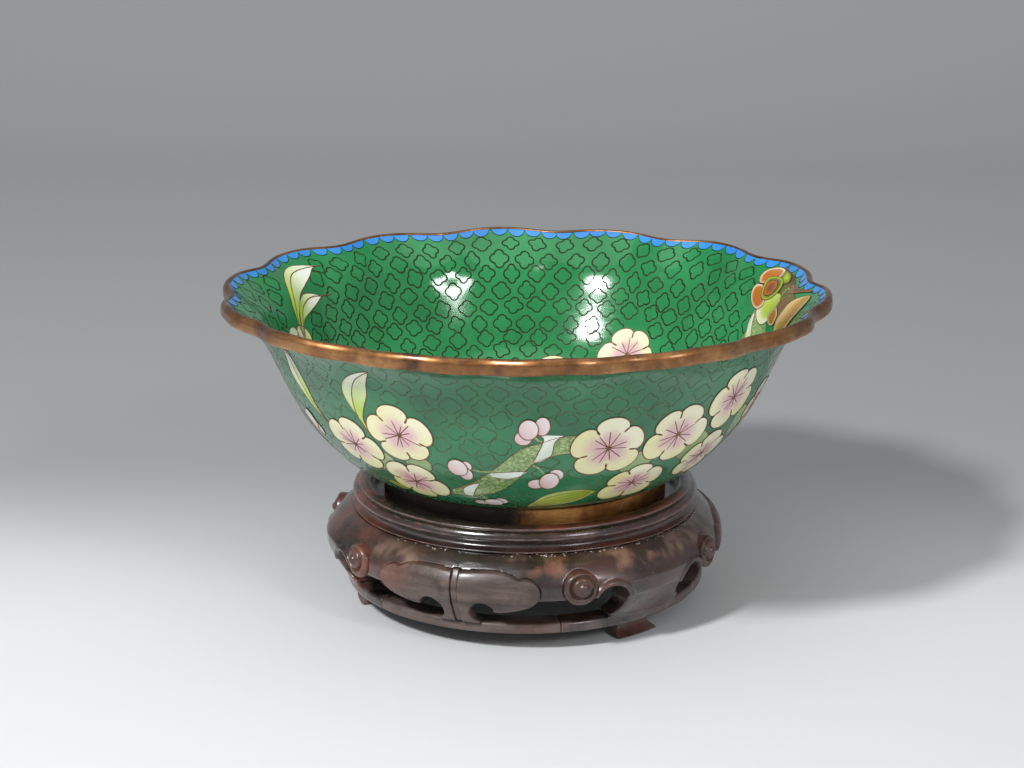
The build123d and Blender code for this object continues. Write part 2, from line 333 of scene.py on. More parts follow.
def make_piece(name, verts, polys, material, body, node=None, colour=None, wear=None):
    """One smooth mesh piece from points in millimetres; it rides on a body and may stand for a CAD node."""
    me = bpy.data.meshes.new(name)
    v = np.ascontiguousarray(np.asarray(verts, np.float32) * MM)
    me.vertices.add(len(v))
    me.vertices.foreach_set("co", v.ravel())
    loops = np.concatenate([p.ravel() for p in polys]).astype(np.int32)
    sizes = np.concatenate([np.full(len(p), p.shape[1]) for p in polys])
    me.loops.add(len(loops))
    me.loops.foreach_set("vertex_index", loops)
    me.polygons.add(len(sizes))
    me.polygons.foreach_set("loop_start", np.concatenate([[0], np.cumsum(sizes)[:-1]]).astype(np.int32))
    me.update(calc_edges=True)
    me.polygons.foreach_set("use_smooth", np.ones(len(sizes), bool))
    if colour is not None:
        rgba = np.ones((len(v), 4), np.float32)
        rgba[:, :3] = colour
        me.color_attributes.new("Col", "FLOAT_COLOR", "POINT").data.foreach_set("color", rgba.ravel())
    if wear is not None:
        wear = np.asarray(wear, np.float32)
        me.attributes.new("wear", "FLOAT", "POINT").data.foreach_set("value", wear)
    me.materials.append(material)
    me.validate()
    ob = new_object(name, me)
    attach(ob, body)
    if node:
        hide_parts(node)


def quads_of(ids):
    """Quads between the neighbours in a grid of vertex numbers."""
    corners = [ids[:-1, :-1], ids[:-1, 1:], ids[1:, 1:], ids[1:, :-1]]
    return np.stack(corners, axis=-1).reshape(-1, 4)


class Batch:
    """Collects many small grids of points into one piece."""

    def __init__(self):
        self.points, self.quads, self.fans, self.colours = [], [], [], []
        self.count = 0

    def grid(self, pts, colour=None, close=False, fan=False):
        """Adds (rows, columns, 3) points; close joins the ends of each row, fan closes the first row."""
        ids = np.arange(pts[..., 0].size).reshape(pts.shape[:2]) + self.count
        if close:
            ids = np.concatenate([ids, ids[:, :1]], axis=1)
        self.quads.append(quads_of(ids))
        self.points.append(pts.reshape(-1, 3))
        self.count += pts[..., 0].size
        if fan:
            self.cap(ids[0], pts[0])
        if colour is not None:
            colour = np.broadcast_to(colour, pts.shape)
            self.colours.append(colour.reshape(-1, 3))
            if fan:
                self.colours.append(colour[0].mean(axis=0)[None])
        return ids

    def cap(self, ring, pts, flip=False):
        """Fan of triangles from the middle of a row of points to its ring of vertex numbers."""
        middle = np.full(len(ring) - 1, self.count)
        a, b = (ring[:-1], ring[1:]) if flip else (ring[1:], ring[:-1])
        self.fans.append(np.stack([middle, a, b], axis=-1))
        self.points.append(pts.mean(axis=0)[None])
        self.count += 1

    def piece(self, name, material, body, slot, node=None, wear=None):
        polys = [np.concatenate(part) for part in (self.quads, self.fans) if part]
        colour = np.concatenate(self.colours) if self.colours else None
        make_piece(name, np.concatenate(self.points), polys, material, body, node, colour, wear)


def lengths(points):
    """Length along a line of flat points, at each point."""
    return np.concatenate([[0], np.cumsum(np.hypot(*np.diff(points, axis=0).T))])


def cubic(knots, values):
    """Natural cubic spline through the rows of values at the knots; returns (value, slope) functions."""
    x, y = np.asarray(knots, float), np.asarray(values, float)
    n, h = len(x), np.diff(x)
    a = np.zeros((n, n))
    b = np.zeros(y.shape)
    a[0, 0] = a[-1, -1] = 1.0
    for i in range(1, n - 1):
        a[i, i - 1:i + 2] = h[i - 1], 2 * (h[i - 1] + h[i]), h[i]
        b[i] = 6 * ((y[i + 1] - y[i]) / h[i] - (y[i] - y[i - 1]) / h[i - 1])
    m = np.linalg.solve(a, b)

    def place(s):
        s = np.asarray(s, float)
        i = np.clip(np.searchsorted(x, s) - 1, 0, n - 2)
        w = h[i][..., None]
        d = (s - x[i])[..., None]
        return i, w, d, w - d

    def value(s):
        i, w, d, e = place(s)
        bend_part = (m[i] * e**3 + m[i + 1] * d**3) / (6 * w)
        return bend_part + (y[i] / w - m[i] * w / 6) * e + (y[i + 1] / w - m[i + 1] * w / 6) * d

    def slope(s):
        i, w, d, e = place(s)
        return (m[i + 1] * d**2 - m[i] * e**2) / (2 * w) + (y[i + 1] - y[i]) / w - (m[i + 1] - m[i]) * w / 6
    return value, slope


def smooth_curve(points, closed=False, steps=8):
    """Catmull-Rom curve through points."""
    p = np.array(points, float)
    n = len(p)
    t = np.arange(steps)[:, None] / steps
    out = []
    for i in range(n if closed else n - 1):
        near = [(i + k) % n if closed else min(max(i + k, 0), n - 1) for k in (-1, 0, 1, 2)]
        a, b, c, d = p[near]
        out.append(0.5 * (2 * b + (c - a) * t + (2 * a - 5 * b + 4 * c - d) * t**2
                          + (3 * b - a - 3 * c + d) * t**3))
    if not closed:
        out.append(p[-1:])
    return np.concatenate(out)


def even_curve(points, count):
    """Evenly spaced points on the smooth curve through the given ones."""
    fine = smooth_curve(points, steps=6)
    along = lengths(fine)
    t = np.linspace(0, along[-1], count)
    return np.stack([np.interp(t, along, fine[:, k]) for k in (0, 1)], axis=-1)


def normals(p, closed=False):
    """Unit normals along a line of flat points."""
    d = np.roll(p, -1, axis=0) - np.roll(p, 1, axis=0) if closed else np.gradient(p, axis=0)
    d = d / (np.linalg.norm(d, axis=1, keepdims=True) + 1e-9)
    return np.stack([-d[:, 1], d[:, 0]], axis=-1)


def ray(angle):
    """Unit vectors at angles in radians."""
    return np.stack([np.cos(angle), np.sin(angle)], axis=-1)


def around(radius, height, bearing):
    """Points at radii and heights round the vertical axis."""
    a = np.radians(bearing)
    return np.stack([radius * np.sin(a), -radius * np.cos(a), height], axis=-1)


def ease(t):
    t = np.clip(t, 0, 1)
    return t * t * (3 - 2 * t)


def between(a, b, share):
    a = np.asarray(a)
    return a + (np.asarray(b) - a) * share


# ---------------- bowl surface

LOBES = 14
LOBE_BEARING = 5.7
CELLS_PER_LOBE = 7
COLUMNS = LOBES * 36
WALL = 2.6
ENAMEL = 0.7
OUT, IN = 1, -1

# Outside of the wall from the middle of the floor to the lip, as (radius, height).
# Arc length along it is 0 at the foot ring's outer edge and 14.3 at the eighth point.
PROFILE = np.array([
    (0, 55.5), (20, 55.5), (38, 55.5), (50, 55.5), (57.6, 55.6), (62.4, 56.6), (66.9, 58.5), (73.6, 62.2),
    (84.3, 71.8), (95.1, 85.3), (102.9, 100.0), (107.6, 110.5), (111.2, 118.0), (115.8, 123.8),
    (121.4, 128.5), (128.0, 133.9)])
ARC = lengths(PROFILE)
ARC += 14.3 - ARC[7]
PROFILE_AT, PROFILE_SLOPE = cubic(ARC, PROFILE)
FLOOR_ARC = ARC[0] + 0.6
WALL_TOP_ARC = 100.6
LIP_ARC = 102.9


def scallop(bearing):
    """Outward and upward shift of the lip."""
    phase = np.radians(LOBES * (np.asarray(bearing) - LOBE_BEARING))
    return 1.9 * np.cos(phase) - 0.5 * np.cos(2 * phase), 0.55 * np.cos(phase)


def on_wall(bearing, s, off=0.0):
    """Points at bearings and arc lengths, moved off along the outward normal of the wall."""
    bearing, s, off = np.broadcast_arrays(bearing, s, off)
    t = PROFILE_SLOPE(s)
    t = t / np.linalg.norm(t, axis=-1, keepdims=True)
    p = PROFILE_AT(s)
    r = p[..., 0] + off * t[..., 1]
    z = p[..., 1] - off * t[..., 0]
    wave, lift = scallop(bearing)
    share = ease((z - 108.0) / 20.4)
    return around(r + share * wave, z + share * lift, bearing)


def radius_at(s):
    return np.maximum(PROFILE_AT(s)[..., 0], 2.0)


def skin(bearing, s, lift, side):
    """Points just over the outside or the inside of the wall."""
    return on_wall(bearing, s, lift if side == OUT else -WALL - lift)


def bend(xy, at, lift, side):
    """Lays flat drawing points round the place at (bearing, arc length) on the bowl."""
    xy = np.asarray(xy, float)
    s = at[1] + xy[..., 1]
    return skin(at[0] + np.degrees(xy[..., 0] / radius_at(s)), s, lift, side)


def shell(name, off_a, off_b, s_a, s_b, rows, material, slot, node, floor=True):
    """Closed skin between two offsets of the wall from arc length s_a up to s_b, with a floor or open."""
    bearings = np.arange(COLUMNS) * 360.0 / COLUMNS
    s = np.concatenate([np.linspace(s_a, s_b, rows), np.linspace(s_b, s_a, rows // 2)])
    off = np.concatenate([np.full(rows, off_a), np.full(rows // 2, off_b)])
    pts = on_wall(bearings, s[:, None], off[:, None])
    if not floor:
        pts = np.concatenate([pts, pts[:1]])
    b = Batch()
    ids = b.grid(pts, close=True, fan=floor)
    if floor:
        b.cap(ids[-1], pts[-1], flip=True)
    b.piece(name, material, "bowl", slot, node)


shell("green_enamel_outside_coat", 0.0, -ENAMEL, -0.6, WALL_TOP_ARC, 96, GREEN_OUT,
      "green_enamel_outside", "outer_enamel", floor=False)
shell("green_enamel_inside_coat", -WALL, ENAMEL - WALL, FLOOR_ARC, 103.0, 130, GREEN_IN,
      "green_enamel_inside", "inner_enamel")
shell("spun_copper_body", -ENAMEL - 0.02, ENAMEL - WALL + 0.02, FLOOR_ARC, WALL_TOP_ARC, 60, COPPER_WALL,
      "copper_wall", "copper_body")


# ---------------- turned rings

def curve_wear(sec):
    """Convexity of a closed cross-section, for rubbed edges."""
    nxt, prv = np.roll(sec, -1, axis=0), np.roll(sec, 1, axis=0)
    a, c = sec - prv, nxt - sec
    la, lc = np.linalg.norm(a, axis=1), np.linalg.norm(c, axis=1)
    cross = a[:, 0] * c[:, 1] - a[:, 1] * c[:, 0]
    bend_rate = np.arcsin(np.clip(cross / (la * lc + 1e-9), -1, 1)) / (0.5 * (la + lc))
    area = 0.5 * np.sum(sec[:, 0] * nxt[:, 1] - nxt[:, 0] * sec[:, 1])
    return np.clip(bend_rate * np.sign(area) * 1.2, -1, 1)


def sweep_ring(name, section, material, slot, node, body="bowl", lobed=0.0, wobble=0.05, cols=COLUMNS):
    """Closed cross-section (radius, height) swept round the axis, with the scallops if lobed is 1."""
    bearings = np.arange(cols) * 360.0 / cols
    a = np.radians(bearings)
    wave, lift = scallop(bearings)
    r = section[:, :1] + lobed * wave
    z = section[:, 1:] + lobed * lift
    for k in range(3, 34):
        amp = wobble / k**0.7
        p1, p2 = rng.uniform(0, TURN, 2)
        r = r + amp * np.cos(k * a + p1) * 0.5
        z = z + amp * np.cos(k * a + p2) * 0.5
    pts = around(r, z, bearings)
    b = Batch()
    b.grid(np.concatenate([pts, pts[:1]]), close=True)
    wear = curve_wear(section)
    b.piece(name, material, body, slot, node, np.repeat(np.append(wear, wear[0]), cols))


def round_section(points, radii, steps=5):
    """Polygon with its corners rounded."""
    p = np.array(points, float)
    out = []
    for i, radius in enumerate(np.broadcast_to(radii, len(p))):
        a, b, c = p[i - 1], p[i], p[(i + 1) % len(p)]
        lu, lv = np.linalg.norm(a - b), np.linalg.norm(c - b)
        d = min(radius, 0.48 * lu, 0.48 * lv)
        start, end = b + (a - b) / lu * d, b + (c - b) / lv * d
        for t in np.arange(steps + 1) / steps:
            out.append((1 - t) ** 2 * start + 2 * t * (1 - t) * b + t * t * end)
    return np.array(out)


def refine(sec, step):
    """Splits the long edges of a closed polygon."""
    out = []
    for a, b in zip(sec, np.roll(sec, -1, axis=0)):
        n = max(1, int(np.linalg.norm(b - a) / step))
        out += [a + (b - a) * k / n for k in range(n)]
    return np.array(out)


LIP = round_section([(124.1, 129.4), (126.3, 128.5), (127.1, 129.6), (127, 133), (126.1, 134.5),
                     (124.9, 135), (124, 134.5)], [0.5, 0.8, 1, 1.4, 1, 0.5, 0.4])
sweep_ring("copper_lip_band", refine(LIP, 0.5), COPPER, "rim_copper", "rim_band", lobed=1.0, wobble=0.16)
FOOT = round_section([(57.2, 46), (60.3, 46), (60.6, 47.6), (59.3, 54.6), (59.8, 56.2), (57.2, 56.2)], 0.5)
sweep_ring("brass_foot_ring", refine(FOOT, 0.6), BRASS, "foot_brass", "foot_ring")


# ---------------- drawing on the enamel

GROUND_LIFT, CELL_LIFT, LINE_LIFT = 0.04, 0.07, 0.13
LEAF = (srgb(178, 206, 76), srgb(238, 240, 224))
LIME_LEAF = (srgb(150, 182, 34), srgb(196, 214, 104))
BRIGHT_LEAF = (srgb(206, 232, 70), srgb(250, 251, 238))
WHITE_LEAF = (srgb(214, 226, 212), srgb(243, 247, 236))
PALE_LEAF = (srgb(208, 222, 176), srgb(243, 246, 230))
FILLER = (srgb(120, 150, 92), srgb(158, 182, 120))
BUD = (srgb(222, 186, 186), srgb(247, 238, 234))


def ribbon(batch, pts, width, at, lift, side, closed=False, crest=0.05):
    """Wire along flat points, with a low ridge down its middle."""
    p = np.asarray(pts, float)
    half = normals(p, closed) * np.broadcast_to(width, len(p))[:, None] / 2
    rows = [bend(p - half, at, lift - 0.04, side), bend(p, at, lift + crest, side),
            bend(p + half, at, lift - 0.04, side)]
    batch.grid(np.stack(rows), close=closed)


class Art:
    """Wire and enamel drawing on one side of the bowl, placed by (bearing, arc length).

    turn is added to every bearing; level lifts a cell and its wires over those below it."""

    def __init__(self, side):
        self.side = side
        self.turn = 0.0
        self.cells, self.lines, self.ground, self.branch = Batch(), Batch(), Batch(), Batch()
        self.taken = []

    def placed(self, points):
        return [(b + self.turn, s) for b, s in points]

    def clear(self, at, radius):
        """Keeps the diaper out of a circle."""
        self.taken.append((*at, radius))

    def blocked(self, at, margin):
        for b, s, r in self.taken:
            dx = math.radians((at[0] - b + 180) % 360 - 180) * float(radius_at(at[1]))
            if math.hypot(dx, at[1] - s) < r + margin:
                return True
        return False

    def flat(self, points, at):
        """Flat drawing coordinates, round a place, of points on the wall."""
        p = np.array(points, float)
        x = np.radians((p[:, 0] - at[0] + 180) % 360 - 180) * radius_at(p[:, 1])
        return np.stack([x, p[:, 1] - at[1]], axis=-1)

    def cell(self, xy, at, level, colour, closed=True):
        self.cells.grid(bend(xy, at, CELL_LIFT + level, self.side), colour, closed, closed)

    def line(self, xy, width, at, level, closed=False):
        ribbon(self.lines, xy, width, at, LINE_LIFT + level, self.side, closed)

    def blossom(self, bearing, s, size, notches, warm=0.5, level=0.0):
        """Five-petal blossom; notches are the directions of the gaps between petals, in degrees."""
        at = (bearing + self.turn, s)
        gaps = np.radians(np.sort(np.asarray(notches, float) % 360))
        a = np.sort(np.concatenate([np.linspace(0, TURN, 130, endpoint=False), gaps]))
        k = (np.searchsorted(gaps, a, side="right") - 1) % 5
        width = (np.roll(gaps, -1) - gaps) % TURN
        t = ((a - gaps[k]) % TURN) / width[k] * 2 - 1
        wide = np.degrees(width)
        reach = np.clip(0.93 + 0.08 * (wide - 62) / 20, 0.88, 1.02) * rng.uniform(0.98, 1.02, 5)
        depth = size * np.clip(0.70 - 0.10 * (wide - 72) / 30, 0.60, 0.76)
        low = 0.5 * (depth[k] + np.where(t < 0, np.roll(depth, 1)[k], np.roll(depth, -1)[k]))
        edge = low + (size * reach[k] - low) * (1 - np.abs(t) ** 2.3) ** 0.55
        outline = edge[:, None] * ray(a)

        f = np.array([0.1, 0.22, 0.36, 0.5, 0.64, 0.78, 0.9, 1.0])[:, None, None]
        tone = rng.uniform(0, 1, 5)[k] * 0.5 + warm * 0.5
        rim = between(srgb(244, 240, 210), srgb(232, 226, 148), tone[:, None])
        pink = ease((0.80 - f) / 0.5)
        lit = np.clip(np.sin(a + 0.6), 0, 1)[:, None]
        colour = between(rim, srgb(224, 182, 186), pink)
        colour = between(colour, srgb(246, 243, 228), 0.5 * lit * (1 - pink))
        self.cell(f * outline, at, level, colour)
        self.line(outline, 0.46, at, level, True)

        for j in range(5):
            u = ray(gaps[j])
            bow = np.array([-u[1], u[0]]) * rng.uniform(-0.35, 0.35)
            top = 0.5 * (depth[j] + depth[j - 1])
            hook = [u * (top + g) + bow * h for g, h in ((0.1, 0), (-0.9, 0.5), (-1.7, 0.9), (-2.4, 1))]
            self.line(hook, [0.8, 0.95, 0.85, 0.6], at, level)
        for j in range(11):
            u = ray(j * TURN / 11 + rng.uniform(-0.2, 0.2) + warm)
            stamen = u * np.linspace(0.2, size * rng.uniform(0.34, 0.64), 5)[:, None]
            self.line(stamen, [0.55, 0.48, 0.44, 0.42, 0.36], at, level)
        self.line(0.5 * ray(np.linspace(0, TURN, 12, endpoint=False)), 0.8, at, level, True)
        self.clear(at, size - 1.0)

    def strip(self, left, right, rib=None, tones=LEAF, level=0.0, edge=0.0, veins=0, split=0.16,
              wood=False):
        """Cell between two edge curves that run from base to tip; split shades its halves apart."""
        left, right = self.placed(left), self.placed(right)
        at = left[0]
        a, b = even_curve(self.flat(left, at), 30), even_curve(self.flat(right, at), 30)
        v = np.linspace(0, 1, 9)[:, None, None]
        xy = a * (1 - v) + b * v
        if wood:
            self.branch.grid(bend(xy, at, CELL_LIFT + level - 0.01, self.side))
        else:
            along = np.clip((np.linspace(0, 1, 30) - 0.3) / 0.55, 0, 1)[:, None]
            colour = between(*tones, np.clip(along + np.where(v < 0.5, split, -split), 0, 1))
            colour = between(colour, srgb(246, 246, 226), np.abs(v * 2 - 1) ** 3 * edge)
            self.cell(xy, at, level, colour, False)
        for curve in (a, b):
            self.line(curve, 0.3 if wood else 0.36, at, level)
        if rib:
            curve = smooth_curve(self.flat(self.placed(rib), at), steps=6)
            self.line(curve, np.linspace(0.62, 0.4, len(curve)), at, level)
        for w in np.arange(1, veins + 1) / (veins + 1):
            self.line((a * (1 - w) + b * w)[3:-4], 0.34, at, level)
        middle, size = (a + b) / 2, np.hypot(*(a - b).T)
        for i in range(3, 30, 4):
            s = at[1] + middle[i, 1]
            self.clear((at[0] + math.degrees(middle[i, 0] / float(radius_at(s))), s), size[i] * 0.45)

    def lobe(self, points, inner, outer, level=0.0, rim=0.55, lean=0.0):
        """Closed cell through points, shaded from its middle to its edge; lean shades its top or foot."""
        points = self.placed(points)
        at = tuple(np.mean(points, axis=0))
        ring = smooth_curve(self.flat(points, at), closed=True, steps=7)
        centre = ring.mean(axis=0)
        size = np.linalg.norm(ring - centre, axis=1)
        t = np.array([0.15, 0.35, 0.55, 0.72, 0.86, 1.0])[:, None]
        up = lean * ((ring - centre)[:, 1] / (size + 1e-9))
        share = np.clip((t - rim) / (1 - rim), 0, 1) * (1 + up) + 0.4 * t * np.clip(up, 0, 1)
        colour = between(inner, outer, np.clip(share, 0, 1)[..., None])
        self.cell(centre + t[..., None] * (ring - centre), at, level, colour)
        self.line(ring, 0.36, at, level, True)
        self.clear(at, float(np.mean(size)))

    def oval(self, bearing, s, rx, ry, tones, level=0.0, tilt=0.0, clear=None):
        """Oval cell, paler towards one side."""
        at = (bearing + self.turn, s)
        a = np.linspace(0, TURN, 48, endpoint=False)
        across, up = ray(math.radians(tilt)), ray(math.radians(tilt + 90))
        ring = (ray(a) * (rx, ry)) @ np.array([across, up])
        t = np.array([0.15, 0.4, 0.65, 0.85, 1.0])[:, None]
        share = np.clip(0.5 + 0.5 * t * np.sin(a + 0.8), 0, 1)[..., None]
        self.cell(t[..., None] * ring, at, level, between(*tones, share))
        self.line(ring, 0.4, at, level, True)
        self.clear(at, clear or min(rx, ry))

    def bud(self, *parts):
        """Bud of overlapping ovals (bearing, arc length, half width, half height), the front one first."""
        for level, part in zip((0.0, 0.13, 0.26), reversed(parts)):
            self.oval(*part, BUD, level)

    def twig(self, start, end, width=1.0):
        """Thin bowed twig of branch enamel."""
        start, end = self.placed((start, end))
        tip = self.flat([end], start)[0]
        t = np.linspace(0, 1, 8)[:, None]
        axis = t * tip + 4 * t * (1 - t) * np.array([-tip[1], tip[0]]) * 0.12
        xy = axis + np.array([-1, 0, 1])[:, None, None] * normals(axis) * width / 2
        self.branch.grid(bend(xy, start, CELL_LIFT - 0.005, self.side))

    def diaper(self, rows, pitch, stretch, width):
        """Staggered four-lobed wire cells over the ground, with slight hand-made differences."""
        count = phase = 0
        a = np.linspace(0, TURN, 32, endpoint=False)
        for s in rows:
            girth = TURN * float(radius_at(s) - (WALL if self.side == IN else 0))
            if not count or not 0.86 * pitch < girth / count < 1.12 * pitch:
                count = max(3, int(round(girth / (pitch * (1.06 if s > 20 else 1.0)))))
                phase = rng.uniform(0, 1)
            phase += 0.5 + rng.normal(0, 0.02)
            drift = rng.uniform(0, TURN, 2)[0]
            for k in range(count):
                bearing = (k + phase + rng.normal(0, 0.035)) * 360.0 / count
                at = (bearing, s + 0.7 * math.sin(math.radians(3 * bearing) + drift) + rng.normal(0, 0.28))
                size = 3.6 * rng.normal(1.0, 0.035)
                deep = rng.uniform(0.76, 0.88)
                tilt = rng.normal(0, 0.16)
                squash = rng.normal(1.0, 0.05)
                if self.blocked(at, 1.2):
                    continue
                r = size * (deep + (1.14 - deep) * np.abs(np.cos(2 * a)) ** rng.uniform(1.0, 1.35))
                pts = r[:, None] * ray(a + tilt) * (squash * stretch, 1 / squash)
                ribbon(self.ground, pts, width, at, GROUND_LIFT, self.side, True, 0.01)


def spray(art, turn):
    """Plum-blossom spray: leaves behind, branch, blossoms, buds, twigs and the leaves in front."""
    art.turn = turn
    for b, s, rx, ry in ((27.5, 42, 7, 7), (44.5, 45, 8, 8), (-38, 38.5, 7, 8), (62, 50, 6, 9),
                         (-27, 41, 6, 5)):
        art.oval(b, s, rx, ry, FILLER, -0.05, 20, 5.0)
    art.strip([(-20.5, 26), (-14.3, 31.9), (-7.8, 42.3), (-3.8, 50.2), (-0.8, 55), (3, 57.7), (8, 60.8),
               (13, 60.6)],
              [(-21.4, 21.8), (-15.7, 21.5), (-8.2, 25.9), (-2.6, 35.1), (1.2, 45.5), (5.7, 50.4),
               (10.7, 51.8), (13.5, 51.8)], wood=True)
    for b, s, size, notches, warm in (
            (-29.3, 57, 15.4, (57, 132, 208, 277, 339), 0.75),
            (-45.2, 45.9, 14.8, (35, 112, 189, 249, 324), 0.7),
            (-31.1, 28, 13.8, (19, 92, 175, 231, 300), 0.8),
            (18.7, 53.2, 16.2, (55, 124, 201, 276, 350), 0.4),
            (36.5, 54.9, 15.6, (32, 101, 168, 248, 316), 0.3),
            (51.8, 67, 15.2, (14, 80, 142, 218, 295), 0.6),
            (51.6, 36.5, 14.2, (50, 124, 190, 260, 335), 0.5),
            (30.2, 27.4, 14.2, (58, 120, 179, 268, 345), 0.75)):
        art.blossom(b, s, size, notches, warm, 0.13)
    art.bud((0.4, 64.6, 3.8, 5), (3.3, 66.2, 3, 4.6), (-0.7, 60.2, 3.4, 3.6))
    art.bud((-16.6, 42.4, 4, 5), (-14.9, 38.6, 2.8, 4.2), (-14.4, 43.6, 2.4, 3))
    art.bud((5.8, 35, 3.9, 5.6), (2.6, 33, 3.4, 3.4), (7.2, 38.6, 3.2, 4))
    art.bud((-9.7, 16.6, 3.8, 3.4), (-13.4, 15.4, 3, 2.4), (-7.4, 17.8, 2.8, 2.8))
    for start, end in (((3.4, 58.5), (1.6, 61)), ((1, 46), (4.4, 39)), ((-8, 41.5), (-13.4, 42)),
                       ((-14.4, 24), (-11.2, 19))):
        art.twig(start, end)
    for left, right in (
            ([(1.6, 47.5), (2.7, 53), (3.7, 59.7), (2.2, 61.9)],
             [(3.2, 47.4), (5.6, 51.1), (6.2, 58.1), (8.1, 61.2)]),
            ([(-9, 40), (-4.6, 41.1), (0.2, 41.8)], [(-8.4, 37.4), (-4.7, 36.4), (-1.4, 38.4)]),
            ([(-17.5, 22.4), (-17.3, 26.9), (-14.4, 31), (-12, 32.4)],
             [(-15.2, 21.2), (-14.1, 25.8), (-13.2, 28.7), (-12, 32.2)])):
        art.strip(left, right, tones=WHITE_LEAF, level=0.02)
    art.strip([(-37.4, 52.3), (-39.2, 61.1), (-41.4, 71.1), (-41, 77), (-38.8, 82), (-35.6, 86.1),
               (-32.4, 88.3)],
              [(-37.2, 52.3), (-38.2, 61.1), (-36.9, 67.4), (-34.8, 74.6), (-34.1, 81), (-32.4, 88.3)],
              [(-37.3, 52.3), (-39.4, 61.6), (-39.4, 69.5), (-38.3, 76.6), (-36.2, 82.6), (-32.4, 88.1)])
    art.strip([(-53, 54), (-56.5, 60.5), (-59.4, 69.5), (-60.4, 78.2), (-58.6, 90)],
              [(-52.8, 54), (-54.8, 62.4), (-55.2, 72.7), (-56.6, 80.5), (-58.6, 90)],
              [(-52.9, 54), (-55.6, 61.6), (-57.2, 71), (-58.4, 80), (-58.6, 89)])
    art.strip([(19.9, 24.4), (15.1, 26.8), (8.9, 26), (4.1, 21.5), (0, 10.8)],
              [(19.9, 24.2), (17.6, 19.4), (13.6, 14.6), (7.5, 11.6), (0, 10.8)],
              tones=LIME_LEAF, edge=0.3, veins=4, split=0.0)
    art.strip([(-44, 21.6), (-42, 23), (-36, 19.6)], [(-44, 21.6), (-41, 17), (-36, 19.6)],
              tones=LIME_LEAF, veins=1)
    art.bud((-62.6, 51, 4, 5), (-60.8, 47, 3, 4), (-64.4, 47, 3, 4))
    art.turn = 0.0


def long_tailed_bird(art):
    """Generic bird among leaves, built of overlapping feather cells."""
    amber, rust = srgb(184, 104, 20), srgb(128, 66, 14)
    moss, brown = srgb(96, 106, 28), srgb(76, 56, 24)
    lime, cream = srgb(176, 202, 40), srgb(236, 232, 196)
    art.lobe([(112.6, 99.6), (106.4, 98.6), (101, 96.4), (96.3, 93.4), (93.2, 87.6), (97.5, 83),
              (104.5, 86.5), (109.5, 92)], moss, brown, 0.0, 0.1, 0.3)
    art.lobe([(98.6, 92.4), (95.2, 94.6), (92.6, 92), (92.4, 86), (93.6, 80.4), (96.8, 79.4), (99, 85)],
             rust, moss, 0.13, 0.15)
    art.lobe([(102, 95.4), (96.8, 97.4), (92.6, 99), (90.2, 99.6), (93.8, 96.6), (97.6, 93.6)],
             brown, amber, 0.26, 0.3)
    art.lobe([(113.8, 89.4), (115.6, 93.1), (115.2, 97.2), (112.4, 99.6), (109.6, 98.4), (109.6, 92.4)],
             amber, cream, 0.13, 0.72, 0.5)
    art.lobe([(114.2, 88.8), (114.5, 85), (112.2, 80.6), (108.8, 79), (107, 82), (109.4, 87.4)],
             amber, cream, 0.26, 0.76)
    art.lobe([(109.2, 82.4), (107.4, 76.6), (103.9, 74.4), (101, 76.4), (98.8, 81), (98.4, 87.6),
              (104.2, 88.6)], lime, cream, 0.13, 0.45, -0.8)
    art.lobe([(101, 79.6), (97.4, 77.2), (94.2, 79), (94.4, 83.6), (98, 85.4)], amber, cream, 0.26, 0.72)
    art.lobe([(112.4, 93), (111.6, 87.6), (109.2, 83.6), (106, 84.6), (104.8, 89.6), (107.6, 94.4)],
             moss, lime, 0.39, 0.75)
    art.lobe([(111, 91), (110.6, 87.6), (109, 85.2), (106.9, 86.2), (106.6, 89.6), (108.4, 92.2)],
             rust, amber, 0.52, 0.35)
    art.lobe([(109.4, 98.8), (106.4, 97.9), (104.6, 94.8), (106, 92.8), (108.6, 94.8)], lime, moss, 0.26, 0.1)
    art.lobe([(102.2, 93.4), (98.8, 93.6), (97.4, 90.8), (99.2, 88), (102.4, 89.6)], moss, lime, 0.13, 0.7)
    art.strip([(90.7, 74.5), (93, 79.8), (92.8, 85.5), (93, 89.6), (92.2, 93.5), (89.6, 97.2)],
              [(88, 74.8), (83.6, 80), (84, 85.4), (85.6, 90.6), (88, 96), (89.4, 97.2)],
              [(89.4, 75), (88.6, 80), (88.8, 86), (89.6, 91), (89.5, 96.6)],
              (srgb(164, 112, 24), srgb(206, 170, 84)), 0.26, 0.3, 2, 0.3)


